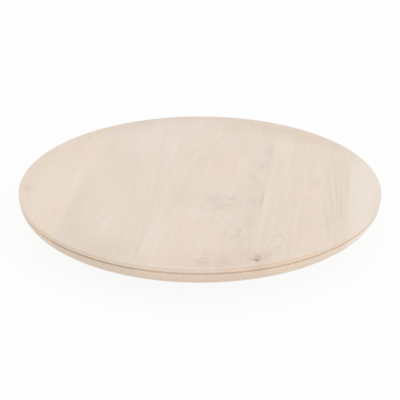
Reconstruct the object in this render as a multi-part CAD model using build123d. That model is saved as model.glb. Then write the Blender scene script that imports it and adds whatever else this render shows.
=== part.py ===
from build123d import *
from math import cos, radians, sin, sqrt
import os

# Lazy susan turntable: a round top glued up from boards, spinning on a pressed-steel ball
# bearing over a smaller wooden base with rubber feet.
# Millimetres, +Z up along the spin axis, origin on the table under the middle of the base.
# The boards of the top and of the base run along Y.

# Turntable top and its routed rim
top_diameter = 400.0
top_thickness = 22.0
first_joint_x = -130.0  # glue joint on the left of the first inner board
inner_board_widths = (94.0, 110.0, 91.0)
top_edge_chamfer = 1.2
lip_height = 4.2
lip_chamfer = 0.4
groove_width = 2.2
groove_depth = 2.6
band_inset = 0.5  # the band under the groove stands this far inside the lip
band_chamfer = 0.6
band_lean = 7.0  # the large round meets the band this many degrees off upright

# Base
base_thickness = 12.0
base_margin = 17.0  # base past the corners of the bearing
base_middle_board_width = 84.0
base_edge_chamfer = 2.0
access_hole_diameter = 20.0  # lets a screwdriver reach the screws of the top

# Bearing: two square pressed plates with a ball race between them
plate_side = 152.0
plate_thickness = 1.2
plate_corner_radius = 10.0
plate_hole_edge = 11.0  # hole centre to the plate's edge
plate_hole_clearance = 0.35
upper_plate_turn = 45.0  # puts a corner of the upper plate over the access hole
ball_diameter = 4.76
ball_count = 30
race_clearance = 0.2
race_lift = 0.22  # underside of each race off the wood
race_land = 8.0  # flat flange between the race's bead and the plate's edge
bead_ramp = 1.9
crest_land = 1.6  # flat crest outside the ball groove
eye_land = 3.5  # flat crest inside the ball groove of the lower plate
cage_thickness = 1.2
cage_gap = 0.4  # cage to the crest of each race
cage_rim = 1.3  # cage beside its ball pockets
cage_pocket_clearance = 0.15
hem_clearance = 0.7  # turned-down wall of the upper plate to the eye of the lower one
hook_clearance = 0.3  # hook of that wall to the crest above it
hook_tip_gap = 0.9  # hook to the ball groove beside it

# Pan-head screws
screw_diameter = 3.5
screw_head_diameter = 7.0
screw_head_height = 2.2
screw_head_crown = 1.3  # height of the head's domed part
screw_tip_length = 2.5
screw_tip_diameter = 1.0
pilot_clearance = 0.05
pilot_spare_depth = 0.6
top_screw_bite = 11.5
base_tip_cover = 3.7  # wood left past the tips of the screws in the base

# Rubber feet, each with a steel washer under its screw
foot_count = 4
foot_first_angle = 45.0
foot_margin = 5.0  # foot to the base's edge
foot_top_diameter = 22.0
foot_bottom_diameter = 18.5
foot_edge_radius = 1.0
foot_web = 1.5
foot_head_lift = 1.5  # screw head off the table
washer_diameter = 9.4
washer_thickness = 0.8
washer_clearance = 0.3  # washer to its recess, and the shank to the holes

# Heights of the stack, from the table up
foot_head_z = foot_head_lift + screw_head_height
washer_top_z = foot_head_z + washer_thickness
base_bottom_z = washer_top_z + foot_web
base_top_z = base_bottom_z + base_thickness
bearing_height = ball_diameter + 2 * (race_clearance + plate_thickness + race_lift)
ball_z = base_top_z + bearing_height / 2
top_bottom_z = base_top_z + bearing_height
top_z = top_bottom_z + top_thickness

# Section of the race: heights above the face of its plate, widths from the ball circle
race_mid = bearing_height / 2
groove_radius = ball_diameter / 2 + race_clearance
groove_back_radius = groove_radius + plate_thickness
crest_high = race_mid - cage_thickness / 2 - cage_gap
crest_low = crest_high - plate_thickness
groove_half = sqrt(groove_radius**2 - (race_mid - crest_high) ** 2)
groove_back_half = sqrt(groove_back_radius**2 - (race_mid - crest_low) ** 2)
crest_half = groove_back_half + crest_land
bead_half = crest_half + bead_ramp

# Plan of the bearing, the base and the feet
ball_circle = plate_side / 2 - race_land - bead_half
eye_radius = ball_circle - groove_back_half - eye_land
plate_hole_circle = (plate_side / 2 - plate_hole_edge) * sqrt(2)
plate_reach = (plate_side / 2 - plate_corner_radius) * sqrt(2) + plate_corner_radius
top_radius = top_diameter / 2
base_radius = plate_reach + base_margin
foot_circle = base_radius - foot_margin - foot_top_diameter / 2
base_screw_bite = base_thickness - base_tip_cover
shank_hole_radius = screw_diameter / 2 + washer_clearance


def turned(*edges):
    """Solid of revolution about Z from a closed outline of (radius, height) edges."""
    return revolve(Plane.XZ * make_face(Curve() + list(edges)), Axis.Z)


def outline(*points):
    """Straight edges from point to point."""
    return [Line(a, b) for a, b in zip(points, points[1:])]


def around(radius, count, first_angle):
    """Points evenly spaced on a circle about the spin axis."""
    angles = [radians(first_angle + 360 * i / count) for i in range(count)]
    return [(radius * cos(a), radius * sin(a)) for a in angles]


def plate_corners(turn):
    """The four hole centres of a bearing plate turned by that angle."""
    return around(plate_hole_circle, 4, 45 + turn)


def upright_bar(x, y, z_low, z_high, radius):
    """Round bar along Z, for the holes."""
    height = z_high - z_low
    return Pos(x, y, z_low + height / 2) * Cylinder(radius, height)


def slab(x_low, x_high, length, z_low, z_high):
    """The straight length of board that a round panel is sawn from."""
    width, height = x_high - x_low, z_high - z_low
    return Pos(x_low + width / 2, 0, z_low + height / 2) * Box(width, length, height)


def top_joints():
    """Glue joints across the top; the outer boards take up the rest of its width."""
    joints = [first_joint_x]
    for width in inner_board_widths:
        joints.append(joints[-1] + width)
    return [x for x in joints if abs(x) < top_radius]


def top_panel():
    """Round top: square lip, square groove and a large round down to the underside."""
    r, low, high = top_radius, top_bottom_z, top_z
    lip_z = high - lip_height
    band_z = lip_z - groove_width
    band, band_low_z = r - band_inset, band_z - band_chamfer
    sweep = 90 - band_lean
    round_radius = (band_low_z - low) / (1 - cos(radians(sweep)))
    round_end = band - round_radius * sin(radians(sweep))
    return turned(
        *outline((0, low), (round_end, low)),
        CenterArc((round_end, low + round_radius), round_radius, -90, sweep),
        *outline(
            (band, band_low_z),
            (band - band_chamfer, band_z),
            (r - groove_depth, band_z),
            (r - groove_depth, lip_z),
            (r - lip_chamfer, lip_z),
            (r, lip_z + lip_chamfer),
            (r, high - top_edge_chamfer),
            (r - top_edge_chamfer, high),
            (0, high),
            (0, low),
        ),
    )


def base_panel():
    """Round base with both edges eased, and the access hole for the screws of the top."""
    r, ease = base_radius, base_edge_chamfer
    low, high = base_bottom_z, base_top_z
    panel = turned(
        *outline(
            (0, low),
            (r - ease, low),
            (r, low + ease),
            (r, high - ease),
            (r - ease, high),
            (0, high),
            (0, low),
        )
    )
    x, y = plate_corners(upper_plate_turn)[2]
    return panel - upright_bar(x, y, low, high, access_hole_diameter / 2)


def boards(panel, joints, radius, z_low, z_high):
    """The panel as its separate boards, from left to right."""
    edges = [-radius, *joints, radius]
    return [panel & slab(a, b, 2 * radius, z_low, z_high) for a, b in zip(edges, edges[1:])]


def pilot_holes(points, z_low, z_high):
    """Screw holes in the wood, between those heights."""
    radius = screw_diameter / 2 + pilot_clearance
    return [upright_bar(x, y, z_low, z_high, radius) for x, y in points]


def race_ring(inner_radius):
    """Pressed ring of one plate: ramp, crest and ball groove, in to that radius."""
    p, mid = ball_circle, race_mid
    half_wall = plate_thickness / 2
    groove_in, groove_out = (p - groove_half, crest_high), (p + groove_half, crest_high)
    back_in, back_out = (p - groove_back_half, crest_low), (p + groove_back_half, crest_low)
    return turned(
        *outline(groove_in, (inner_radius, crest_high), (inner_radius, crest_low), back_in),
        ThreePointArc(back_in, (p, mid - groove_back_radius), back_out),
        *outline(
            back_out,
            (p + crest_half, crest_low),
            (p + bead_half - half_wall, 0),
            (p + bead_half, 0),
            (p + bead_half, plate_thickness),
            (p + crest_half + half_wall, crest_high),
            groove_out,
        ),
        ThreePointArc(groove_out, (p, mid - groove_radius), groove_in),
    )


def pressed_plate(inner_radius):
    """One bearing plate lying on z = 0: square flange with corner holes, and its race."""
    sheet = RectangleRounded(plate_side, plate_side, plate_corner_radius)
    sheet -= Circle(ball_circle + bead_half)
    for x, y in plate_corners(0):
        sheet -= Pos(x, y) * Circle(screw_diameter / 2 + plate_hole_clearance)
    return extrude(sheet, plate_thickness) + race_ring(inner_radius)


def lower_plate():
    """The plate on the base."""
    return Pos(0, 0, base_top_z) * pressed_plate(eye_radius)


def upper_plate():
    """The same pressing turned over, with a hem through the eye that hooks the lower plate."""
    wall_out = eye_radius - hem_clearance
    wall_in = wall_out - plate_thickness
    hook_tip = eye_radius + eye_land - hook_tip_gap
    hook_high = crest_low - hook_clearance
    hem_high = bearing_height - crest_low
    hem = turned(
        *outline(
            (wall_in, race_lift),
            (hook_tip, race_lift),
            (hook_tip, hook_high),
            (wall_out, hook_high),
            (wall_out, hem_high),
            (wall_in, hem_high),
            (wall_in, race_lift),
        )
    )
    plate = Pos(0, 0, bearing_height) * Rot(180, 0, 0) * pressed_plate(wall_in)
    return Pos(0, 0, base_top_z) * Rot(0, 0, upper_plate_turn) * (plate + hem)


def ball_cage():
    """Flat ring with one pocket for each ball."""
    pocket = ball_diameter / 2 + cage_pocket_clearance
    ring = Circle(ball_circle + pocket + cage_rim) - Circle(ball_circle - pocket - cage_rim)
    for x, y in around(ball_circle, ball_count, 0):
        ring -= Pos(x, y) * Circle(pocket)
    return Pos(0, 0, ball_z - cage_thickness / 2) * extrude(ring, cage_thickness)


def balls():
    """The balls, each in the middle of its pocket."""
    centres = around(ball_circle, ball_count, 0)
    return [Pos(x, y, ball_z) * Sphere(ball_diameter / 2) for x, y in centres]


def screw(length):
    """Pan-head screw along Z, its head under z = 0 and its tip at that length."""
    shank, head, tip = screw_diameter / 2, screw_head_diameter / 2, screw_tip_diameter / 2
    crown_z = screw_head_crown - screw_head_height
    return turned(
        *outline(
            (0, length),
            (tip, length),
            (shank, length - screw_tip_length),
            (shank, 0),
            (head, 0),
            (head, crown_z),
        ),
        EllipticalCenterArc((0, crown_z), head, screw_head_crown, -90, arc_size=90),
        *outline((0, -screw_head_height), (0, length)),
    )


def screws(points, z, length, turn=0):
    """The same screw at each point, with the seat of its head at that height."""
    return [Pos(x, y, z) * Rot(turn, 0, 0) * screw(length) for x, y in points]


def foot():
    """Tapered rubber foot with a recess from below for its washer and screw."""
    wide, narrow = foot_top_diameter / 2, foot_bottom_diameter / 2
    recess = washer_diameter / 2 + washer_clearance
    section = make_face(
        Polyline(
            (recess, 0),
            (narrow, 0),
            (wide, base_bottom_z),
            (shank_hole_radius, base_bottom_z),
            (shank_hole_radius, washer_top_z),
            (recess, washer_top_z),
            close=True,
        )
    )
    tread = section.vertices().sort_by_distance((narrow, 0))[0]
    return revolve(Plane.XZ * fillet(tread, foot_edge_radius), Axis.Z)


def washer():
    """Plain washer in the recess of a foot."""
    ring = Circle(washer_diameter / 2) - Circle(shank_hole_radius)
    return Pos(0, 0, foot_head_z) * extrude(ring, washer_thickness)


def write(name, solids):
    """One node, of one solid or of several like ones."""
    shape = solids[0] if len(solids) == 1 else Compound(children=solids)
    export_step(shape, os.path.join("parts", name + ".step"))


def write_numbered(name, solids):
    """One node for each solid."""
    for number, solid in enumerate(solids, 1):
        write(f"{name}_{number}", [solid])


def main():
    os.makedirs("parts", exist_ok=True)
    top_points = plate_corners(upper_plate_turn)
    base_points = plate_corners(0)
    foot_points = around(foot_circle, foot_count, foot_first_angle)

    # Top: its boards, with the holes of the bearing's screws
    hole_depth = top_screw_bite + pilot_spare_depth
    holes = pilot_holes(top_points, top_bottom_z, top_bottom_z + hole_depth)
    panel = top_panel() - holes
    write_numbered("top_board", boards(panel, top_joints(), top_radius, top_bottom_z, top_z))

    # Base: its boards, with the holes of the bearing's screws and of the feet's
    hole_depth = base_screw_bite + pilot_spare_depth
    holes = pilot_holes(base_points, base_top_z - hole_depth, base_top_z)
    holes += pilot_holes(foot_points, base_bottom_z, base_bottom_z + hole_depth)
    panel = base_panel() - holes
    joint = base_middle_board_width / 2
    write_numbered("base_board", boards(panel, [-joint, joint], base_radius, base_bottom_z, base_top_z))

    # Bearing, and its screws up into the top and down into the base
    write("bearing_upper_plate", [upper_plate()])
    write("bearing_lower_plate", [lower_plate()])
    write("ball_cage", [ball_cage()])
    write("bearing_balls", balls())
    seat_z = top_bottom_z - plate_thickness
    write("top_screws", screws(top_points, seat_z, plate_thickness + top_screw_bite))
    seat_z = base_top_z + plate_thickness
    write("base_screws", screws(base_points, seat_z, plate_thickness + base_screw_bite, turn=180))

    # Feet
    write_numbered("foot", [Pos(x, y, 0) * foot() for x, y in foot_points])
    write("foot_washers", [Pos(x, y, 0) * washer() for x, y in foot_points])
    grip = base_bottom_z - foot_head_z
    write("foot_screws", screws(foot_points, foot_head_z, grip + base_screw_bite))


main()
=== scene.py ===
from math import cos, hypot, pi, radians, sin, tan

import bmesh
import bpy
from mathutils import Matrix, Vector


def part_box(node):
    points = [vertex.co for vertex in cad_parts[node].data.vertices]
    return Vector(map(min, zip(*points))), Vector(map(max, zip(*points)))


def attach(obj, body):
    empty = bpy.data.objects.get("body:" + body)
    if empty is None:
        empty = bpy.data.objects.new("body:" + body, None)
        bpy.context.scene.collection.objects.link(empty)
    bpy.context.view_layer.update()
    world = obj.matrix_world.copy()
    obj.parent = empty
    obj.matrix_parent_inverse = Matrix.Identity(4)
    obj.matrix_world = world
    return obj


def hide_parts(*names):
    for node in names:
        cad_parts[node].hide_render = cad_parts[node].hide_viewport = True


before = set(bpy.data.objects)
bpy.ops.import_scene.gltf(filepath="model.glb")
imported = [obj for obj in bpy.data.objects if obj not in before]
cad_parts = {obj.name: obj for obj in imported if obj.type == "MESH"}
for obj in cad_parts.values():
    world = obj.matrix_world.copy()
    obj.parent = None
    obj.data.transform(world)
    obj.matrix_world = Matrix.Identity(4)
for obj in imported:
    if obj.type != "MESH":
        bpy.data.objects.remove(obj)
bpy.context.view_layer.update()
scene = bpy.context.scene
scene.view_settings.view_transform = "Standard"
mm = 0.001
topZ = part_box("top_board_3")[1].z
print("frame loaded:", len(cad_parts), "nodes")


# mesh helpers

weld = 1e-7  # points this close are one, in metres


def closeHoles(bm):
    rim = [edge for edge in bm.edges if edge.is_boundary]
    if rim:
        bmesh.ops.edgenet_fill(bm, edges=rim)
    bmesh.ops.recalc_face_normals(bm, faces=bm.faces)


def spinOutline(corners, steps, closed=False):
    # a few corners (radius, height) spun once round the axis
    bm = bmesh.new()
    points = [bm.verts.new((radius, 0, z)) for radius, z in corners]
    pairs = list(zip(points, points[1:]))
    if closed:
        pairs.append((points[-1], points[0]))
    edges = [bm.edges.new(pair) for pair in pairs]
    bmesh.ops.spin(
        bm, geom=points + edges, axis=(0, 0, 1), angle=2 * pi, steps=steps, use_merge=True
    )
    bmesh.ops.remove_doubles(bm, verts=bm.verts, dist=weld)
    closeHoles(bm)
    return bm


def roundRing(bm, radius, height, size, segments, centre=(0, 0)):
    # rounds the edges that lie on one circle
    near = 0.02 * mm

    def onRing(vert):
        across = hypot(vert.co.x - centre[0], vert.co.y - centre[1])
        return abs(across - radius) < near and abs(vert.co.z - height) < near

    ring = [edge for edge in bm.edges if all(onRing(vert) for vert in edge.verts)]
    bmesh.ops.bevel(
        bm, geom=ring, offset=size, segments=segments, profile=0.5, affect="EDGES", material=-1
    )
    bmesh.ops.remove_doubles(bm, verts=bm.verts, dist=10 * weld)


def sliceBoard(bm, left, right):
    # keeps what lies between two joints and closes the cut faces
    for x, side in ((left, -1), (right, 1)):
        everything = bm.verts[:] + bm.edges[:] + bm.faces[:]
        bmesh.ops.bisect_plane(
            bm, geom=everything, dist=weld, plane_co=(x, 0, 0), plane_no=(side, 0, 0), clear_outer=True
        )
        closeHoles(bm)


def softShade(bm, limit=32):
    # smooth faces with sharp edges past the limit in degrees, and flat caps
    for face in bm.faces:
        face.smooth = len(face.verts) <= 4
    for edge in bm.edges:
        flat = any(not face.smooth for face in edge.link_faces)
        edge.smooth = not flat and edge.calc_face_angle(pi) < radians(limit)


def combine(operation, bm, *others):
    # cuts the other meshes out of the first, or joins them to it
    objects = []
    for part in (bm, *others):
        mesh = bpy.data.meshes.new("combined")
        part.to_mesh(mesh)
        part.free()
        objects.append(bpy.data.objects.new("combined", mesh))
        scene.collection.objects.link(objects[-1])
    for other in objects[1:]:
        step = objects[0].modifiers.new("combine", "BOOLEAN")
        step.operation = operation
        step.solver = "EXACT"
        step.object = other
    solved = objects[0].evaluated_get(bpy.context.evaluated_depsgraph_get())
    result = bmesh.new()
    result.from_mesh(solved.to_mesh())
    for used in objects:
        mesh = used.data
        bpy.data.objects.remove(used)
        bpy.data.meshes.remove(mesh)
    bmesh.ops.remove_doubles(result, verts=result.verts, dist=weld)
    return result


def copyTo(target, source, matrix):
    # adds a moved copy of one mesh to another
    mesh = bpy.data.meshes.new("copy")
    source.to_mesh(mesh)
    mesh.transform(matrix)
    target.from_mesh(mesh)
    bpy.data.meshes.remove(mesh)


def addPiece(name, bm, finish, body, node):
    mesh = bpy.data.meshes.new(name)
    bm.to_mesh(mesh)
    bm.free()
    mesh.materials.append(finish)
    piece = bpy.data.objects.new(name, mesh)
    scene.collection.objects.link(piece)
    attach(piece, body)
    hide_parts(node)


def middleOf(node):
    low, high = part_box(node)
    return (low + high) / 2


def dressNode(node, finish):
    # a CAD node whose shape is right only gets a finish
    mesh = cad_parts[node].data
    mesh.materials.clear()
    mesh.materials.append(finish)


# node helpers

seedStride = (41, 67, 23)  # noise moves this far for each unit of its seed, mm


def addNode(tree, kind, inputs=None, **settings):
    made = tree.nodes.new("ShaderNode" + kind)
    for key, value in settings.items():
        setattr(made, key, value)
    for key, value in (inputs or {}).items():
        if isinstance(value, bpy.types.NodeSocket):
            tree.links.new(value, made.inputs[key])
        else:
            made.inputs[key].default_value = value
    return made


def emptyTree(owner):
    # the cleared node tree of a material or a world
    owner.use_nodes = True
    owner.node_tree.nodes.clear()
    return owner.node_tree


def newFinish(name, sockets):
    # sockets that are the same all over are set on the shader itself
    finish = bpy.data.materials.new(name)
    tree = emptyTree(finish)
    shader = addNode(tree, "BsdfPrincipled", sockets)
    addNode(tree, "OutputMaterial", {"Surface": shader.outputs[0]})
    return finish, tree, shader


def millimetres(tree):
    place = addNode(tree, "TexCoord").outputs["Object"]
    return addNode(tree, "VectorMath", {0: place, 3: 1 / mm}, operation="SCALE").outputs[0]


def axis(tree, vector, number):
    return addNode(tree, "SeparateXYZ", {0: vector}).outputs[number]


def calc(tree, operation, first, second=0.0, third=0.0):
    return addNode(tree, "Math", {0: first, 1: second, 2: third}, operation=operation).outputs[0]


def local(tree, here, middle, reach, turn=0):
    # coordinates round a middle, turned and measured in reaches
    turned = {"Vector": here, "Location": middle, "Rotation": (0, 0, radians(turn)), "Scale": reach}
    return addNode(tree, "Mapping", turned, vector_type="TEXTURE").outputs[0]


def noise(tree, here, size, seed=0.0, detail=2.0, turn=0):
    # size is the length of a feature along x, y and z, in mm
    place = local(tree, here, [seed * step for step in seedStride], size, turn)
    return addNode(tree, "TexNoise", {"Vector": place, "Scale": 1.0, "Detail": detail}).outputs["Fac"]


def ease(tree, value, low, high, start=0.0, end=1.0):
    return addNode(
        tree, "MapRange", {0: value, 1: low, 2: high, 3: start, 4: end}, interpolation_type="SMOOTHSTEP"
    ).outputs[0]


def tint(tree, amount, first, second, blend="MIX"):
    return addNode(
        tree, "Mix", {0: amount, 6: first, 7: second}, data_type="RGBA", blend_type=blend
    ).outputs[2]


def bell(tree, here, spot):
    # 1 at the spot's middle, falling away smoothly over its reach
    place = local(tree, here, spot["at"], spot["reach"], spot["turn"])
    square = addNode(tree, "VectorMath", {0: place, 1: place}, operation="DOT_PRODUCT").outputs[1]
    return calc(tree, "EXPONENT", calc(tree, "MULTIPLY", square, -1.0))


def bells(tree, here, spots, start=0.0):
    # adds up spots, each as strong as its depth
    amount = start
    for spot in spots:
        amount = calc(tree, "MULTIPLY_ADD", bell(tree, here, spot), spot["depth"], amount)
    return amount


def weigh(tree, layers, weights, start=0.0):
    # adds up layers by name, each times its weight
    amount = start
    for name, weight in weights.items():
        amount = calc(tree, "MULTIPLY_ADD", layers[name], weight, amount)
    return amount


def setSurface(tree, shader, look, layers):
    # roughness, and relief in mm
    rough = weigh(tree, layers, look["rough"], look["evenRough"])
    tree.links.new(rough, shader.inputs["Roughness"])
    if "relief" in look:
        height = weigh(tree, layers, look["relief"])
        bump = addNode(tree, "Bump", {"Strength": look["bump"], "Distance": mm, "Height": height})
        tree.links.new(bump.outputs[0], shader.inputs["Normal"])


# camera, floor and light

view = {
    "azimuth": radians(8),
    "elevation": radians(24.7),
    "distance": 1.24,   # metres from the middle of the top
    "focal": 1113,      # pixels of the frame
    "frame": 400,
    "drop": 20.4 * mm,  # the camera aims this far under the middle of the top
}
studio = {
    "floorSize": 6,
    "floorGap": 0.2 * mm,
    "floorColour": (0.92, 0.92, 0.92, 1),
    "floorGlow": 0.90,  # share of plain white that the camera sees on the floor
    "floorLift": 0.25,  # the same for other light, as on a softly lit table
    "ambient": 0.88,
    "lampFrom": (0.7, -0.45, 0.55),  # one broad lamp, to the right of the camera and above
    "lampSpread": radians(50),
    "lampStrength": 0.62,
}


def setCamera(target):
    turn, lift = view["azimuth"], view["elevation"]
    back = Vector((sin(turn) * cos(lift), -cos(turn) * cos(lift), sin(lift)))
    up = Vector((-sin(turn) * sin(lift), cos(turn) * sin(lift), cos(lift)))
    data = bpy.data.cameras.new("camera")
    data.lens = view["focal"] / view["frame"] * data.sensor_width
    camera = bpy.data.objects.new("camera", data)
    camera.location = target + back * view["distance"]
    away = camera.location - (target - up * view["drop"])
    camera.rotation_euler = away.to_track_quat("Z", "Y").to_euler()
    scene.collection.objects.link(camera)
    scene.camera = camera


def seenRay(tree):
    # rays of the camera, of mirrors and of glass
    path = addNode(tree, "LightPath")
    seen = path.outputs["Is Camera Ray"]
    for kind in ("Is Glossy Ray", "Is Transmission Ray"):
        seen = calc(tree, "MAXIMUM", seen, path.outputs[kind])
    return seen


def floorFinish():
    finish = bpy.data.materials.new("floorPaint")
    tree = emptyTree(finish)
    matt = addNode(tree, "BsdfDiffuse", {"Color": studio["floorColour"]})
    glow = addNode(tree, "Emission", {"Strength": 1.0})
    lift = studio["floorLift"]
    share = calc(tree, "MULTIPLY_ADD", seenRay(tree), studio["floorGlow"] - lift, lift)
    paint = addNode(tree, "MixShader", {0: share, 1: matt.outputs[0], 2: glow.outputs[0]})
    under = addNode(tree, "NewGeometry").outputs["Backfacing"]  # clear when seen from below
    clear = addNode(tree, "BsdfTransparent")
    oneSided = addNode(tree, "MixShader", {0: under, 1: paint.outputs[0], 2: clear.outputs[0]})
    addNode(tree, "OutputMaterial", {"Surface": oneSided.outputs[0]})
    return finish


def layFloor():
    bm = bmesh.new()
    bmesh.ops.create_grid(bm, x_segments=1, y_segments=1, size=studio["floorSize"])
    bmesh.ops.translate(bm, verts=bm.verts, vec=(0, 0, -studio["floorGap"]))
    mesh = bpy.data.meshes.new("floor")
    bm.to_mesh(mesh)
    bm.free()
    mesh.materials.append(floorFinish())
    floor = bpy.data.objects.new("floor", mesh)
    scene.collection.objects.link(floor)


def lightRoom():
    world = bpy.data.worlds.new("room")
    tree = emptyTree(world)
    strength = calc(tree, "MULTIPLY_ADD", seenRay(tree), 1 - studio["ambient"], studio["ambient"])
    sky = addNode(tree, "Background", {"Color": (1, 1, 1, 1), "Strength": strength})
    addNode(tree, "OutputWorld", {"Surface": sky.outputs[0]})
    scene.world = world
    data = bpy.data.lights.new("broadLamp", "SUN")
    data.energy = studio["lampStrength"]
    data.angle = studio["lampSpread"]
    lamp = bpy.data.objects.new("broadLamp", data)
    lamp.location = studio["lampFrom"]
    lamp.rotation_euler = lamp.location.to_track_quat("Z", "Y").to_euler()
    scene.collection.objects.link(lamp)


setCamera(Vector((0, 0, topZ)))
layFloor()
lightRoom()
print("camera, floor and light set")


# wood: growth rings round a heart line, fibres, pores, clouds, curl and local figure

woodLook = {
    "pale": (0.845, 0.735, 0.637, 1),
    "deep": (0.585, 0.462, 0.348, 1),
    "ash": (0.55, 0.462, 0.39, 1),
    "pink": (0.82, 0.67, 0.57, 1),
    "pore": (0.46, 0.34, 0.25, 1),
    "knot": (0.40, 0.30, 0.24, 1),
    "endGrain": (0.945, 0.90, 0.85, 1),  # end grain is this much darker
    "sway": 2.4,                         # mm that quick bends move a ring
    "ringStart": 0.25,                   # share of a ring where its darkening starts
    "ringPeak": 0.93,                    # and where it is darkest
    "ringLeast": 0.25,                   # strength of the weakest ring
    "fibreDepth": 0.16,
    "streakSize": (2.6, 130),            # across and along the grain
    "curlSlant": 0.22,                   # ripples shift by this many radians for each mm across
    "curlBend": 9.0,                     # and bend by up to this many
    "poreDepth": 0.3,
    "knotRough": 0.9,                    # how ragged the edges of a knot are
    "bandSoft": 0.2,                     # mm to each side over which a band of the rim fades
    # a range is where a noise starts and stops to count, and what it gives there if not 0 and 1
    "curlRange": (0.48, 0.68),
    "fleckRange": (0.36, 0.66),
    "blushRange": (0.42, 0.72),
    "poreRange": (0.62, 0.70),
    "poreFade": (0.1, 0.6, 1.0, 0.4),    # late in a ring there are fewer pores
    "knotRange": (0.12, 0.9),
    "endRange": (0.3, 0.9),
    # range of the noise that makes the painted light and shade of the rim bands uneven
    "rimPatchRange": (0.3, 0.7, 0.6, 1.0),
    # mean of each layer, taken off so that a board's tone is its own
    "means": {"rings": 0.22, "streaks": 0.5, "fibres": 0.5, "clouds": 0.5},
    "sockets": {"Specular IOR Level": 0.3},
    "rough": {"fibres": 0.14, "rings": -0.06},
    "evenRough": 0.46,
    "relief": {"fibres": 0.05, "pores": -0.05, "rings": 0.02, "streaks": 0.04},
    "bump": 0.6,
}
# noises of the wood, each a step away from the board's own seed
woodNoise = {
    "wander": {"step": 0, "size": (70, 240, 70)},
    "sway": {"step": 5, "size": (13, 110, 13)},
    "streaks": {"step": 11, "detail": 3.0},
    "fibres": {"step": 17, "size": (0.55, 26, 0.55)},
    "pores": {"step": 23, "size": (0.32, 5.5, 0.32), "detail": 1.0},
    "clouds": {"step": 29, "size": (46, 95, 30), "detail": 3.0},
    "blush": {"step": 37, "size": (34, 120, 30)},
    "curlBend": {"step": 41, "size": (16, 22, 16), "detail": 1.0},
    "curlPatch": {"step": 47, "size": (40, 55, 30), "detail": 1.0},
    "flecks": {"step": 53, "detail": 1.0},
    "ragged": {"step": 61, "size": (1.6, 2.4, 1.6), "detail": 4.0},
    # makes the painted light and shade of the rim bands uneven along the rim
    "rimPatches": {"step": 71, "size": (9, 9, 9)},
}


def boardNoise(tree, here, board, name, **more):
    layer = {**woodNoise[name], **more}
    step = layer.pop("step")
    return noise(tree, here, seed=board["seed"] + step, **layer)


def heartDistance(tree, here, board):
    # distance from the heart of a tapering tree, bent by slow and quick wander
    x, y, z = addNode(tree, "SeparateXYZ", {0: here}).outputs
    across = calc(tree, "SUBTRACT", x, board["heart"][0])
    for name, depth in (("wander", board["wander"]), ("sway", woodLook["sway"])):
        across = calc(tree, "MULTIPLY_ADD", boardNoise(tree, here, board, name), depth, across)
    down = calc(tree, "SUBTRACT", z, board["heart"][1])
    down = calc(tree, "MULTIPLY_ADD", y, board["lean"], down)
    both = addNode(tree, "CombineXYZ", {0: across, 1: down}).outputs[0]
    distance = addNode(tree, "VectorMath", {0: both}, operation="LENGTH").outputs[1]
    return calc(tree, "MULTIPLY_ADD", y, board.get("taper", 0.0), distance)


def growthRings(tree, here, board):
    # how far through its ring a point is, and a slow darkening that ends at a crisp line
    rings = calc(tree, "DIVIDE", heartDistance(tree, here, board), board["ring"])
    phase = calc(tree, "FRACT", rings)
    number = calc(tree, "FLOOR", rings)
    chance = addNode(tree, "TexWhiteNoise", {"W": number}, noise_dimensions="1D").outputs[0]
    peak = board.get("ringPeak", woodLook["ringPeak"])
    rise = ease(tree, phase, woodLook["ringStart"], peak)
    fall = ease(tree, phase, peak, 1.0, 1.0, 0.0)
    least = board.get("ringLeast", woodLook["ringLeast"])
    strength = ease(tree, chance, 0.0, 1.0, least, 1.0)
    return phase, calc(tree, "MULTIPLY", calc(tree, "MULTIPLY", rise, fall), strength)


def curlRipples(tree, here, board):
    # short ripples across the grain, in loose patches
    bend = boardNoise(tree, here, board, "curlBend")
    turn = calc(tree, "MULTIPLY", axis(tree, here, 1), 2 * pi / board["curlPitch"])
    turn = calc(tree, "MULTIPLY_ADD", axis(tree, here, 0), woodLook["curlSlant"], turn)
    turn = calc(tree, "MULTIPLY_ADD", bend, woodLook["curlBend"], turn)
    patch = boardNoise(tree, here, board, "curlPatch")
    amount = ease(tree, patch, *woodLook["curlRange"], 0.0, board["curl"])
    amount = bells(tree, here, board.get("ripples", []), amount)
    return calc(tree, "MULTIPLY", calc(tree, "SINE", turn), amount)


def ashFlecks(tree, here, board):
    # greyer patches, each broken up by flecks that are so wide, so long, so turned and so strong
    amount = 0.0
    for patch in board.get("flecks", []):
        wide, long, turn, strong = patch["fleck"]
        flecks = boardNoise(tree, here, board, "flecks", size=(wide, long, wide), turn=turn)
        flecks = ease(tree, flecks, *woodLook["fleckRange"], 1 - strong, 1 + strong)
        broken = calc(tree, "MULTIPLY", bell(tree, here, patch), flecks)
        amount = calc(tree, "MULTIPLY_ADD", broken, patch["depth"], amount)
    return amount


def flowRound(tree, here, pull):
    # coordinates drawn in towards a knot, so that the grain parts round it
    away = addNode(tree, "VectorMath", {0: here, 1: pull["at"]}, operation="SUBTRACT").outputs[0]
    share = calc(tree, "MULTIPLY", bell(tree, here, pull), -pull["depth"])
    shift = addNode(tree, "VectorMath", {0: away, 3: share}, operation="SCALE").outputs[0]
    return addNode(tree, "VectorMath", {0: here, 1: shift}, operation="ADD").outputs[0]


def grainLayers(tree, here, grain, board):
    # what follows the grain round a knot, and what lies over all of it
    phase, rings = growthRings(tree, grain, board)
    if "ringSpots" in board:
        seen = bells(tree, here, board["ringSpots"], board["ringElsewhere"])
        rings = calc(tree, "MULTIPLY", rings, seen)
    wide, long = board.get("streakSize", woodLook["streakSize"])
    pores = ease(tree, boardNoise(tree, grain, board, "pores"), *woodLook["poreRange"])
    return {
        "rings": rings,
        "streaks": boardNoise(tree, grain, board, "streaks", size=(wide, long, wide)),
        "fibres": boardNoise(tree, grain, board, "fibres"),
        "pores": calc(tree, "MULTIPLY", pores, ease(tree, phase, *woodLook["poreFade"])),
        "clouds": boardNoise(tree, here, board, "clouds"),
        "curl": curlRipples(tree, here, board),
    }


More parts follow.
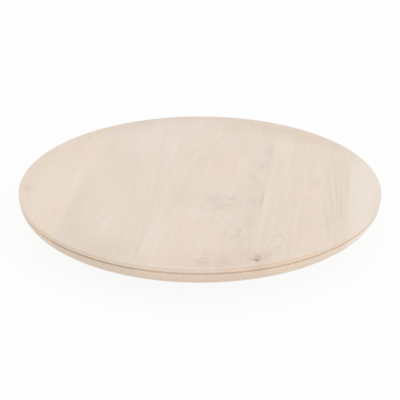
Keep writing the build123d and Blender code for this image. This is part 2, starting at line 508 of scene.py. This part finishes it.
def woodColour(tree, here, board, layers):
    look = woodLook
    depths = {
        "rings": board["ringDepth"],
        "streaks": board["streak"],
        "fibres": look["fibreDepth"],
        "clouds": board["cloud"],
    }
    middle = sum(depth * look["means"][name] for name, depth in depths.items())
    shade = weigh(tree, layers, {**depths, "curl": 1.0}, board["tone"] - middle)
    # stains, and painted shade along the back edge of the top
    shade = bells(tree, here, board.get("stainsAndShade", []), shade)
    colour = tint(tree, shade, look["pale"], look["deep"])
    colour = tint(tree, ashFlecks(tree, here, board), colour, look["ash"])
    blush = boardNoise(tree, here, board, "blush")
    blush = ease(tree, blush, *look["blushRange"], 0.0, board["blush"])
    blush = bells(tree, here, board.get("blushSpots", []), blush)
    colour = tint(tree, blush, colour, look["pink"])
    colour = tint(tree, 1.0, colour, board["cast"], "MULTIPLY")
    pores = calc(tree, "MULTIPLY", layers["pores"], look["poreDepth"])
    return tint(tree, pores, colour, look["pore"])


def knotAmount(tree, here, board):
    # the knot's marks with ragged edges
    rough = woodLook["knotRough"]
    amount = bells(tree, here, board["knot"]["marks"], -rough / 2)
    amount = calc(tree, "MULTIPLY_ADD", boardNoise(tree, here, board, "ragged"), rough, amount)
    return ease(tree, amount, *woodLook["knotRange"])


def endGrain(tree):
    # 1 on faces across the grain, which take less of the pale wash
    along = axis(tree, addNode(tree, "TexCoord").outputs["Normal"], 1)
    return ease(tree, calc(tree, "ABSOLUTE", along), *woodLook["endRange"])


def rimBand(tree, here, board, low, high):
    # 1 between two heights, uneven along the rim: the mask for the painted light and shade on the groove
    # and lip, and for the darker tint on the arris
    height = axis(tree, here, 2)
    soft = woodLook["bandSoft"]
    amount = ease(tree, boardNoise(tree, here, board, "rimPatches"), *woodLook["rimPatchRange"])
    for outside, inside in ((low - soft, low + soft), (high + soft, high - soft)):
        amount = calc(tree, "MULTIPLY", amount, ease(tree, height, outside, inside))
    return amount


def woodFinish(name, board, bands):
    finish, tree, shader = newFinish(name, woodLook["sockets"])
    here = millimetres(tree)
    grain = flowRound(tree, here, board["knot"]["pull"]) if "knot" in board else here
    layers = grainLayers(tree, here, grain, board)
    colour = woodColour(tree, here, board, layers)
    if "knot" in board:
        colour = tint(tree, knotAmount(tree, here, board), colour, woodLook["knot"])
    colour = tint(tree, endGrain(tree), colour, woodLook["endGrain"], "MULTIPLY")
    # painted light and shade: each board's groove and lip are lightened or darkened in colour in place of
    # the light and shade the lamp gives them, and the arris is tinted darker
    for band, heights in bands.items():
        amount = rimBand(tree, here, board, *heights)
        colour = tint(tree, amount, colour, board["rim"][band], "MULTIPLY")
    tree.links.new(colour, shader.inputs["Base Color"])
    setSurface(tree, shader, woodLook, layers)
    return finish


# round top: five boards with one routed rim

topShape = {
    "steps": 288,
    "flat": 0.5,             # share of the radius that is one flat face
    "lip": 4.2 * mm,
    "groove": 2.2 * mm,
    "grooveDepth": 2.6 * mm,
    "bandInset": 0.5 * mm,
    "bandLean": radians(7),  # the large round meets the band this far off upright
    "spare": 0.05 * mm,      # left between one rounding and the next
    "largeSegments": 18,     # of the large round, which takes what is left of the thickness
    "arrisShare": 0.75,      # share of the top's rounding that is tinted darker
    # other roundings: size and segments
    "topRound": (1.2 * mm, 5),
    "lipRound": (0.4 * mm, 3),
    "grooveRound": (0.3 * mm, 2),
    "bandRound": (0.6 * mm, 3),
}


def mark(at, reach, depth, turn=0, down=14, below=0, **more):
    # a soft mark in mm: its place and reach seen from above, its reach down, and how far below the
    # top its middle lies
    place = {"at": (*at, topZ / mm - below), "reach": (*reach, down), "turn": turn}
    return {**place, "depth": depth, **more}


# figure of each board from left to right, in mm with +y to the back: the heart of its tree in x and z,
# how far the heart drops for each mm of y, the width of a ring and of its wander, and then how strong
# each layer is
topBoards = [
    {  # at the left: straight and plain, warm
        "seed": 3.1, "heart": (-240, 10), "lean": 0.03, "ring": 7.0, "wander": 9, "tone": 0.13,
        "ringDepth": 0.10, "streak": 0.18, "cloud": 0.14, "curl": 0.02, "curlPitch": 14, "blush": 0.2,
        "cast": (1.01, 0.995, 0.97, 1),
        # painted light: groove and lip lightened where the lamp leaves them in shade; arris tinted darker
        "rim": {
            "groove": (1.16, 1.14, 1.09, 1), "lip": (1.11, 1.09, 1.06, 1), "arris": (0.96, 0.95, 0.94, 1),
        },
        "stainsAndShade": [
            mark((-138, -10), (6, 60), -0.10),
            mark((-160, -40), (16, 50), -0.06),
            mark((-165, 110), (12, 50), 0.08),
            mark((-186, -42), (5, 11), 0.24, turn=20),
            mark((-131, 141), (11, 16), 0.18),
        ],
        "flecks": [
            # grey flecks of the wood, and painted shade of the rounded back edge
            mark((-150, 128), (24, 45), 0.14, fleck=(9, 8, 0, 0.6)),
            mark((-182, 58), (8, 9), 0.14, fleck=(5, 6, 0, 0.6)),
            mark((-190, 20), (8, 50), 0.07, fleck=(7, 9, 0, 0.6)),
        ],
    },
    {  # cooler, clouded towards the front edge
        "seed": 14.7, "heart": (-95, -30), "lean": 0.05, "ring": 6.0, "wander": 14, "tone": 0.18,
        "ringDepth": 0.08, "streak": 0.14, "cloud": 0.14, "curl": 0.01, "curlPitch": 13, "blush": 0.08,
        "cast": (0.995, 1.0, 1.005, 1),
        # painted shade in the groove and painted light on the lip; arris tinted darker
        "rim": {
            "groove": (0.98, 0.96, 0.94, 1), "lip": (1.08, 1.10, 1.12, 1), "arris": (0.96, 0.95, 0.94, 1),
        },
        "stainsAndShade": [
            mark((-122, -80), (12, 65), 0.08),
            mark((-108, -130), (15, 16), 0.10),
            mark((-75, -172), (42, 30), 0.17),
            mark((-70, 110), (30, 70), -0.08),
            mark((-85, 10), (20, 45), 0.05),
            mark((-122, 28), (10, 16), -0.08),
            mark((-82, -114), (5, 20), -0.12, turn=-16),
            mark((-92, -92), (3, 14), -0.06, turn=-10),
            mark((-43, 78), (4, 55), -0.11),
            mark((-131, 141), (11, 16), 0.18),
            # this and the next mark: painted shade along the back edge, where its rounding is in shade
            mark((-95, 170), (20, 13), 0.19),
            mark((-45, 190), (34, 11), 0.21),
        ],
        "flecks": [
            mark((-118, -105), (14, 40), 0.06, fleck=(8, 14, 20, 0.6)),
            # grey flecks of the wood, and painted shade of the rounded back edge
            mark((-112, 148), (24, 20), 0.14, fleck=(9, 6, 0, 0.6)),
        ],
        "ripples": [mark((-118, 92), (16, 26), 0.08)],
    },
    {  # in the middle: curl, flame and grey flecks
        "seed": 27.9, "heart": (30, -45), "lean": 0.04, "ring": 5.0, "wander": 16, "tone": 0.16,
        "ringDepth": 0.08, "streak": 0.34, "cloud": 0.20, "curl": 0.02, "curlPitch": 11, "blush": 0.3,
        "streakSize": (5, 60),
        "blushSpots": [
            mark((22, 45), (30, 42), 0.3),
            mark((45, -172), (42, 18), 0.4),
        ],
        "cast": (1.0, 0.995, 1.0, 1),
        # painted light in the groove and on the lip; arris tinted darker
        "rim": {
            "groove": (1.05, 1.08, 1.11, 1), "lip": (1.06, 1.06, 1.08, 1), "arris": (0.93, 0.92, 0.91, 1),
        },
        "stainsAndShade": [
            mark((72, 94), (3, 20), 0.12),
            mark((58, 22), (3.5, 24), 0.14, turn=22),
            mark((-18, -35), (10, 28), 0.1, turn=8),
            mark((40, -174), (34, 14), 0.1),
            # these five marks: painted shade along the back edge, where its rounding is in shade
            mark((48, 177), (30, 18), 0.18),
            mark((5, 192), (42, 12), 0.17),
            mark((0, 163), (20, 20), 0.1),
            mark((63, 157), (10, 12), 0.1),
            mark((78, 165), (13, 17), 0.16),
            mark((66, -167), (12, 15), 0.25),
            mark((38, -188), (32, 8), 0.2),
            mark((-18, -191), (22, 9), 0.1),
            mark((8, -118), (16, 14), -0.06),
            mark((2, -78), (15, 9), -0.11, turn=-18),
            mark((-24, -125), (8, 55), -0.09),
            mark((45, 52), (6, 15), -0.1),
            mark((73, -36), (2.5, 22), 0.45),
            mark((73.6, -170.6), (2.4, 1.5), 0.9),
            mark((71.2, -171.4), (1.8, 1.4), 0.5, turn=40),
        ],
        "flecks": [
            mark((15, -40), (5, 13), 0.23, turn=39, fleck=(12, 16, 39, 0.3)),
            mark((32, -59), (12, 6), 0.17, turn=27, fleck=(14, 9, 27, 0.4)),
            mark((36, -37), (4, 11), 0.13, turn=49, fleck=(9, 14, 49, 0.5)),
            mark((36, -46), (34, 22), 0.08, fleck=(12, 5, -25, 1.0)),
            mark((66, -38), (10, 50), 0.17, fleck=(8, 15, -8, 0.3)),
            mark((64, -86), (9, 9), 0.20, fleck=(10, 12, 0, 0.4)),
            mark((40, -96), (14, 6), 0.09, fleck=(12, 7, 0, 0.4)),
            mark((59, -117), (17, 24), 0.16, fleck=(4, 17, -43, 1.0)),
            mark((66, -154), (18, 14), 0.12, fleck=(5, 16, -43, 0.9)),
            mark((69, 94), (6, 21), 0.21, fleck=(8, 14, 0, 0.6)),
            mark((64, 55), (9, 13), 0.21, fleck=(7, 9, 0, 0.6)),
            mark((45, -177), (31, 12), 0.33, fleck=(12, 3.6, 20, 1.0)),
        ],
        "ripples": [
            mark((15, -140), (34, 26), 0.05),
            mark((40, 88), (26, 12), 0.05),
        ],
    },
    {  # the knot, arched grain behind it and dark lines at the right
        "seed": 41.3, "heart": (100.1, 36.2), "lean": 0.0, "ring": 4.2, "wander": 3, "tone": 0.18,
        "ringDepth": 0.26, "streak": 0.36, "cloud": 0.20, "curl": 0.01, "curlPitch": 12, "blush": 0.2,
        "streakSize": (4, 110), "taper": 0.15, "ringPeak": 0.7, "ringLeast": 0.8,
        "blushSpots": [mark((112, 150), (36, 18), 0.35)],
        "cast": (1.0, 0.99, 0.975, 1),
        # slight painted light in the groove and slight painted shade on the lip; arris tinted darker
        "rim": {
            "groove": (1.01, 1.01, 1.0, 1), "lip": (0.99, 0.98, 0.97, 1), "arris": (0.87, 0.84, 0.81, 1),
        },
        "ringElsewhere": 0.06,
        "ringSpots": [mark((98.5, -124), (13, 26), 1.0, down=40)],
        "stainsAndShade": [
            mark((78, -20), (2.2, 85), -0.14),
            mark((88, 115), (9, 55), -0.08),
            # painted shade along the back edge, where its rounding is in shade
            mark((119, 143), (26, 18), 0.26),
            mark((142, -64), (1.5, 55), 0.18, turn=7.5),
            mark((146.5, -29), (1.7, 75), 0.21, turn=4.5),
            mark((152, -25), (1.4, 60), 0.18, turn=2.7),
            mark((157.3, -34), (1.5, 60), 0.21, turn=2),
            mark((162.5, -20), (1.8, 80), 0.1),
            # this and the next mark: painted shade along the back edge, where its rounding is in shade
            mark((87, 163), (20, 19), 0.34),
            mark((149, 123), (11, 14), 0.2),
            mark((124, 17), (18, 13), 0.12),
            mark((80, -170), (12, 16), 0.32),
            mark((82, -110), (7, 44), 0.14),
            mark((125, -147), (18, 14), 0.08),
        ],
        "flecks": [
            mark((152, -5), (12, 95), 0.09, fleck=(3.0, 220, 4, 0.6)),
            mark((84, -160), (18, 16), 0.09, fleck=(9, 10, -24, 0.6)),
            mark((91, -160), (4, 12), 0.12, turn=-24, fleck=(8, 16, -24, 0.6)),
        ],
        "knot": {
            "pull": mark((80, -169), (9, 15), 0.85, down=20),
            "marks": [
                mark((80.0, -172.6), (1.7, 3.3), 0.56),
                mark((81.9, -168.5), (0.9, 4.5), 0.42),
                mark((78.4, -168), (0.8, 4.5), 0.32),
                mark((79.8, -164), (3.2, 1.5), 0.34),
                mark((80.0, -168.5), (3.8, 7.0), 0.25),
                mark((75.8, -171.8), (3.2, 1.5), 0.6, turn=-15),
            ],
        },
    },
    {  # at the right: the palest
        "seed": 58.2, "heart": (230, 0), "lean": 0.02, "ring": 8.0, "wander": 6, "tone": 0.10,
        "ringDepth": 0.08, "streak": 0.16, "cloud": 0.12, "curl": 0.01, "curlPitch": 14, "blush": 0.05,
        "cast": (1.015, 1.03, 1.045, 1),
        # painted shade on the lip where the lamp lights it, groove a little warmer; arris tinted darker
        "rim": {
            "groove": (1.02, 1.0, 0.96, 1), "lip": (0.95, 0.96, 0.95, 1), "arris": (0.88, 0.86, 0.83, 1),
        },
        "stainsAndShade": [
            mark((182, 0), (11, 55), -0.13),
            mark((166, 97), (7, 18), 0.22),
            mark((167, -60), (4, 60), 0.06),
            mark((195, -50), (7, 28), 0.2, down=8, below=4),
        ],
    },
]


def makeTopPanel(radius, low, high):
    shape = topShape
    bandRound, bandSegments = shape["bandRound"]
    lipZ = high - shape["lip"]
    bandZ = lipZ - shape["groove"]
    bandRadius = radius - shape["bandInset"]
    grooveRadius = radius - shape["grooveDepth"]
    leanTop = bandZ - bandRound
    footRadius = bandRadius - (leanTop - low) * tan(shape["bandLean"])
    bm = spinOutline(
        [
            (radius * shape["flat"], high),
            (radius, high),
            (radius, lipZ),
            (grooveRadius, lipZ),
            (grooveRadius, bandZ),
            (bandRadius, bandZ),
            (bandRadius, leanTop),
            (footRadius, low),
            (radius * shape["flat"], low),
        ],
        shape["steps"],
    )
    wall = (leanTop - low) / cos(shape["bandLean"])
    roundRing(bm, footRadius, low, wall - shape["spare"], shape["largeSegments"])
    roundRing(bm, bandRadius, bandZ, bandRound - shape["spare"], bandSegments)
    for z in (lipZ, bandZ):
        roundRing(bm, grooveRadius, z, *shape["grooveRound"])
    roundRing(bm, radius, lipZ, *shape["lipRound"])
    roundRing(bm, radius, high, *shape["topRound"])
    return bm


def rimHeights():
    # lowest and highest point of each tinted band of the rim, in mm
    lipZ = topZ - topShape["lip"]
    arris = topShape["topRound"][0]
    arrisZ = topZ - arris
    heights = {
        "groove": (lipZ - topShape["groove"], lipZ),
        "lip": (lipZ, arrisZ),
        "arris": (arrisZ, arrisZ + topShape["arrisShare"] * arris),
    }
    return {band: (low / mm, high / mm) for band, (low, high) in heights.items()}


def makeTop():
    low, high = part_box("top_board_3")
    panel = makeTopPanel(high.y, low.z, high.z)
    bands = rimHeights()
    for number, board in enumerate(topBoards, 1):
        node = "top_board_%d" % number
        left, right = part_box(node)
        bm = panel.copy()
        sliceBoard(bm, left.x, right.x)
        softShade(bm)
        name = "topBoard%d" % number
        finish = woodFinish(name + "Wood", board, bands)
        addPiece(name, bm, finish, "turntable", node)
    panel.free()


makeTop()
print("top boards made:", len(topBoards))


# metal and rubber: two colours mixed by layers that also give roughness and relief

def layeredFinish(name, look, moreLayers=None):
    finish, tree, shader = newFinish(name, look["sockets"])
    here = millimetres(tree)
    layers = {key: noise(tree, here, **layer) for key, layer in look["noises"].items()}
    if moreLayers:
        layers.update(moreLayers(tree, here, layers))
    colour = tint(tree, weigh(tree, layers, look["shade"]), look["clean"], look["dull"])
    tree.links.new(colour, shader.inputs["Base Color"])
    setSurface(tree, shader, look, layers)
    return finish


# screws: pan head with a cross recess, core, wound thread and tapered tip

screwShape = {
    "head": 3.5 * mm,
    "headHeight": 2.2 * mm,
    "crown": 1.3 * mm,             # domed part of the head
    "core": 1.3 * mm,
    "crest": 1.75 * mm,            # outer radius of the thread
    "pitch": 1.3 * mm,
    "tipLength": 2.5 * mm,
    "tipRadius": 0.25 * mm,
    "crossLength": 4.4 * mm,
    "crossWidth": 1.0 * mm,
    "crossDepth": 1.35 * mm,
    "crossTaper": (0.45, 0.7, 1),  # size at the bottom of the recess
    "seatRound": (0.2 * mm, 2),    # size and segments
    "threadRoot": 0.1 * mm,        # the thread starts this far inside the core
    "threadStart": 0.6 * mm,
    "threadWidth": 0.4,            # share of the pitch
    "turn": 0.7,                   # each screw of a set is turned by this much more
    "steps": 32,
    "domeSteps": 7,
    "sharp": 40,                   # degrees past which an edge is sharp
}
# bright zinc with fine turning marks round each shank
screwLook = {
    "sockets": {"Metallic": 1.0},
    "noises": {
        "turned": {"size": (3, 3, 0.12), "seed": 3.0},
        "haze": {"size": (2.2, 2.2, 2.2), "seed": 8.0, "detail": 3.0},
    },
    "clean": (0.80, 0.80, 0.82, 1),
    "dull": (0.52, 0.52, 0.54, 1),
    "shade": {"turned": 0.4, "haze": 0.5},
    "rough": {"turned": 0.16, "haze": 0.2},
    "evenRough": 0.12,
    "relief": {"turned": 0.015, "haze": 0.02},
    "bump": 0.4,
}
atCorners = ((1, 1), (-1, 1), (-1, -1), (1, -1))
atSides = ((1, 0), (0, 1), (-1, 0), (0, -1))


def makeScrew(length):
    # along z, with the seat of its head at 0 and its tip at the length
    shape = screwShape
    rim = shape["crown"] - shape["headHeight"]
    tipStart = length - shape["tipLength"]
    quarter = [pi / 2 * n / shape["domeSteps"] for n in range(shape["domeSteps"])]
    dome = [(shape["head"] * cos(turn), rim - shape["crown"] * sin(turn)) for turn in quarter]
    stem = [(shape["tipRadius"], length), (shape["core"], tipStart), (shape["core"], 0)]
    screw = spinOutline([*stem, (shape["head"], 0), *dome], shape["steps"])
    roundRing(screw, shape["head"], 0, *shape["seatRound"])
    screw = combine("DIFFERENCE", screw, crossBar(0), crossBar(pi / 2))
    screw = combine("UNION", screw, windThread(tipStart))
    softShade(screw, shape["sharp"])
    return screw


def crossBar(turn):
    # one arm of the recess: half of the bar stands out of the head
    shape = screwShape
    bar = bmesh.new()
    bmesh.ops.create_cube(bar, size=1)
    deep = [vert for vert in bar.verts if vert.co.z > 0]
    bmesh.ops.scale(bar, vec=shape["crossTaper"], verts=deep)
    size = (shape["crossLength"], shape["crossWidth"], 2 * shape["crossDepth"])
    bmesh.ops.scale(bar, vec=size, verts=bar.verts)
    bmesh.ops.translate(bar, vec=(0, 0, -shape["headHeight"]), verts=bar.verts)
    bmesh.ops.rotate(bar, cent=(0, 0, 0), matrix=Matrix.Rotation(turn, 3, "Z"), verts=bar.verts)
    return bar


def windThread(tipStart):
    # a small triangle wound up the core
    shape = screwShape
    root, pitch = shape["core"] - shape["threadRoot"], shape["pitch"]
    width = shape["threadWidth"] * pitch
    turns = int((tipStart - shape["threadStart"]) / pitch)
    start = tipStart - turns * pitch
    corners = [(root, start), (shape["crest"], start + width / 2), (root, start + width)]
    thread = bmesh.new()
    face = thread.faces.new([thread.verts.new((radius, 0, z)) for radius, z in corners])
    bmesh.ops.spin(
        thread,
        geom=[face],
        axis=(0, 0, 1),
        dvec=(0, 0, pitch / shape["steps"]),
        angle=2 * pi * turns,
        steps=turns * shape["steps"],
    )
    bmesh.ops.recalc_face_normals(thread, faces=thread.faces)
    return thread


def placeScrews(name, node, body, finish, spots, headUp=False):
    shape = screwShape
    low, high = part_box(node)
    reach = high.x - shape["head"]
    seat = high.z - shape["headHeight"] if headUp else low.z + shape["headHeight"]
    flip = Matrix.Rotation(pi if headUp else 0, 4, "X")
    screw = makeScrew(high.z - low.z - shape["headHeight"])
    group = bmesh.new()
    for number, (x, y) in enumerate(spots):
        place = Matrix.Translation((x * reach, y * reach, seat))
        turn = Matrix.Rotation(number * shape["turn"], 4, "Z")
        copyTo(group, screw, place @ flip @ turn)
    screw.free()
    addPiece(name, group, finish, body, node)


# round base: three boards, eased edges and the hole for the screwdriver

baseShape = {
    "steps": 192,
    "flat": 0.25,              # share of the radius that is one flat face
    "edgeRound": (2 * mm, 5),  # size and segments
    "holeRadius": 10 * mm,
    "holeSteps": 64,
    "drill": 3,                # length of the drill in thicknesses of the base
    "holeRound": (1 * mm, 3),
}
baseBoards = [
    {
        "seed": 71.4, "heart": (-150, -20), "lean": 0.03, "ring": 5.5, "wander": 9, "tone": 0.3,
        "ringDepth": 0.16, "streak": 0.2, "cloud": 0.2, "curl": 0.02, "curlPitch": 13, "blush": 0.3,
        "cast": (1.0, 1.0, 0.98, 1),
    },
    {
        "seed": 83.6, "heart": (8, -30), "lean": 0.06, "ring": 5.0, "wander": 12, "tone": 0.34,
        "ringDepth": 0.18, "streak": 0.22, "cloud": 0.2, "curl": 0.03, "curlPitch": 12, "blush": 0.2,
        "cast": (1.0, 0.99, 0.97, 1),
    },
    {
        "seed": 96.8, "heart": (120, 40), "lean": 0.04, "ring": 6.0, "wander": 9, "tone": 0.27,
        "ringDepth": 0.14, "streak": 0.2, "cloud": 0.2, "curl": 0.02, "curlPitch": 14, "blush": 0.3,
        "cast": (1.0, 1.0, 0.99, 1),
    },
]


def makeBasePanel(radius, low, high):
    flat = radius * baseShape["flat"]
    bm = spinOutline([(flat, high), (radius, high), (radius, low), (flat, low)], baseShape["steps"])
    for z in (low, high):
        roundRing(bm, radius, z, *baseShape["edgeRound"])
    return bm


def drillHole(bm, low, high):
    # under one screw of the top
    middle = (0, screwShape["head"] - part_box("top_screws")[1].x)
    hole = bmesh.new()
    bmesh.ops.create_cone(
        hole,
        cap_ends=True,
        segments=baseShape["holeSteps"],
        radius1=baseShape["holeRadius"],
        radius2=baseShape["holeRadius"],
        depth=baseShape["drill"] * (high - low),
        matrix=Matrix.Translation((*middle, (low + high) / 2)),
    )
    bm = combine("DIFFERENCE", bm, hole)
    for z in (low, high):
        roundRing(bm, baseShape["holeRadius"], z, *baseShape["holeRound"], middle)
    return bm


def makeBase():
    low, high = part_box("base_board_2")
    panel = makeBasePanel(high.y, low.z, high.z)
    for number, board in enumerate(baseBoards, 1):
        node = "base_board_%d" % number
        left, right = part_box(node)
        bm = panel.copy()
        if left.x < 0 < right.x:
            bm = drillHole(bm, low.z, high.z)
        sliceBoard(bm, left.x, right.x)
        softShade(bm)
        name = "baseBoard%d" % number
        finish = woodFinish(name + "Wood", board, {})
        addPiece(name, bm, finish, "base", node)
    panel.free()


makeBase()
print("base boards made:", len(baseBoards))


# bearing: two pressed plates, a cage and the balls

# bright zinc on pressed sheet: faint crystals, drawing marks and handling smudges
plateLook = {
    "sockets": {"Metallic": 1.0},
    "crystals": 0.16,  # for each mm
    "noises": {
        "drawn": {"size": (40, 0.5, 6), "seed": 2.0},
        "smudge": {"size": (26, 18, 20), "seed": 7.0, "detail": 4.0},
    },
    "clean": (0.74, 0.75, 0.76, 1),
    "dull": (0.55, 0.555, 0.57, 1),
    "shade": {"facet": 0.16, "drawn": 0.12, "smudge": 0.5},
    "rough": {"drawn": 0.12, "smudge": 0.22, "facet": 0.05},
    "evenRough": 0.16,
    "relief": {"drawn": 0.02, "smudge": 0.06},
    "bump": 0.4,
}
# plain stamped strip with rolling marks and a trace of grease
cageLook = {
    "sockets": {"Metallic": 1.0},
    "noises": {
        "rolled": {"size": (0.4, 12, 0.4), "seed": 4.0},
        "grease": {"size": (7, 7, 3), "seed": 9.0, "detail": 3.0},
    },
    "clean": (0.58, 0.58, 0.60, 1),
    "dull": (0.36, 0.35, 0.34, 1),
    "shade": {"rolled": 0.4, "grease": 0.6},
    "rough": {"rolled": 0.2, "grease": 0.25},
    "evenRough": 0.2,
    "relief": {"rolled": 0.02},
    "bump": 0.4,
}
# ground and polished, with an oil film
ballLook = {
    "sockets": {"Metallic": 1.0},
    "noises": {"film": {"size": (3, 3, 3), "seed": 1.0, "detail": 3.0}},
    "clean": (0.80, 0.80, 0.81, 1),
    "dull": (0.66, 0.65, 0.63, 1),
    "shade": {"film": 1.0},
    "hazeRange": (0.3, 0.7),
    "rough": {"haze": 0.12},
    "evenRough": 0.06,
}
ballShape = {"count": 30, "around": 24, "over": 14}


def zincFacets(tree, here, layers):
    crystals = addNode(tree, "TexVoronoi", {"Vector": here, "Scale": plateLook["crystals"]})
    return {"facet": axis(tree, crystals.outputs["Color"], 0)}


def oilHaze(tree, here, layers):
    return {"haze": ease(tree, layers["film"], *ballLook["hazeRange"])}


def makeBalls(finish):
    low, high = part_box("bearing_balls")
    radius = (high.z - low.z) / 2
    ring = high.x - radius
    bm = bmesh.new()
    for number in range(ballShape["count"]):
        turn = Matrix.Rotation(2 * pi * number / ballShape["count"], 4, "Z")
        bmesh.ops.create_uvsphere(
            bm,
            u_segments=ballShape["around"],
            v_segments=ballShape["over"],
            radius=radius,
            matrix=turn @ Matrix.Translation((ring, 0, low.z + radius)),
        )
    for face in bm.faces:
        face.smooth = True
    addPiece("bearingBalls", bm, finish, "ball_ring", "bearing_balls")


plateZinc = layeredFinish("plateZinc", plateLook, zincFacets)
dressNode("bearing_upper_plate", plateZinc)
dressNode("bearing_lower_plate", plateZinc)
dressNode("ball_cage", layeredFinish("cageSteel", cageLook))
makeBalls(layeredFinish("ballSteel", ballLook, oilHaze))
screwZinc = layeredFinish("screwZinc", screwLook)
placeScrews("topScrews", "top_screws", "turntable", screwZinc, atSides)
placeScrews("baseScrews", "base_screws", "base", screwZinc, atCorners, headUp=True)
placeScrews("footScrews", "foot_screws", "base", screwZinc, atCorners)
print("bearing and screws made")


# feet: tapered rubber with a grooved tread, a recess and a steel washer

footShape = {
    "count": 4,
    "steps": 72,
    "treadRadius": 9.25 * mm,
    "recess": 5 * mm,
    "hole": 2.05 * mm,
    "web": 1.5 * mm,
    "collar": 1.2 * mm,              # upright part against the base
    "tread": (6.4 * mm, 7.6 * mm),   # inner and outer radius of the groove in the tread
    "treadDepth": 0.5 * mm,
    # roundings: size and segments
    "edgeRound": (1 * mm, 5),
    "collarRound": (0.4 * mm, 2),
    "baseRound": (0.25 * mm, 2),
    "recessRound": (0.35 * mm, 2),
    "treadRound": (0.15 * mm, 2),
}
washerShape = {"steps": 64, "hole": 2.05 * mm, "edgeRound": (0.2 * mm, 3)}
# matt moulded rubber, greyed by dust towards the tread
rubberLook = {
    "sockets": {"Specular IOR Level": 0.35},
    "noises": {
        "skin": {"size": (0.5, 0.5, 0.5), "seed": 6.0, "detail": 3.0},
        "dust": {"size": (4, 4, 2.5), "seed": 12.0, "detail": 4.0},
    },
    "dustTop": 2.5,  # mm above the table
    "dustRange": (0.35, 0.7),
    "clean": (0.022, 0.022, 0.023, 1),
    "dull": (0.085, 0.083, 0.08, 1),
    "shade": {"skin": 0.25, "dust": 0.2, "worn": 0.5},
    "rough": {"skin": 0.12, "dust": 0.2},
    "evenRough": 0.55,
    "relief": {"skin": 0.05},
    "bump": 0.6,
}


def treadDust(tree, here, layers):
    low = ease(tree, axis(tree, here, 2), rubberLook["dustTop"], 0.0)
    thick = ease(tree, layers["dust"], *rubberLook["dustRange"])
    return {"worn": calc(tree, "MULTIPLY", low, thick)}


def makeFoot(wide, low, high):
    shape = footShape
    ledge = high - shape["web"]
    collarZ = high - shape["collar"]
    treadTop = low + shape["treadDepth"]
    inner, outer = shape["tread"]
    bm = spinOutline(
        [
            (shape["recess"], low),
            (inner, low),
            (inner, treadTop),
            (outer, treadTop),
            (outer, low),
            (shape["treadRadius"], low),
            (wide, collarZ),
            (wide, high),
            (shape["hole"], high),
            (shape["hole"], ledge),
            (shape["recess"], ledge),
        ],
        shape["steps"],
        closed=True,
    )
    roundRing(bm, shape["treadRadius"], low, *shape["edgeRound"])
    roundRing(bm, wide, collarZ, *shape["collarRound"])
    roundRing(bm, wide, high, *shape["baseRound"])
    roundRing(bm, shape["recess"], low, *shape["recessRound"])
    for radius in shape["tread"]:
        roundRing(bm, radius, low, *shape["treadRound"])
    softShade(bm)
    return bm


def makeFeet(finish):
    for number in range(1, footShape["count"] + 1):
        node = "foot_%d" % number
        low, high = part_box(node)
        middle = middleOf(node)
        bm = makeFoot((high.x - low.x) / 2, low.z, high.z)
        bmesh.ops.translate(bm, verts=bm.verts, vec=(middle.x, middle.y, 0))
        addPiece("foot%d" % number, bm, finish, "base", node)


def makeWashers(finish):
    low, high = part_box("foot_washers")
    foot = middleOf("foot_1")
    hole = washerShape["hole"]
    radius = high.x - foot.x
    washer = spinOutline(
        [(hole, low.z), (radius, low.z), (radius, high.z), (hole, high.z)],
        washerShape["steps"],
        closed=True,
    )
    for edge in (hole, radius):
        for z in (low.z, high.z):
            roundRing(washer, edge, z, *washerShape["edgeRound"])
    softShade(washer)
    group = bmesh.new()
    for x, y in atCorners:
        copyTo(group, washer, Matrix.Translation((x * foot.x, y * foot.y, 0)))
    washer.free()
    addPiece("footWashers", group, finish, "base", "foot_washers")


makeFeet(layeredFinish("footRubber", rubberLook, treadDust))
makeWashers(screwZinc)
print("feet made")
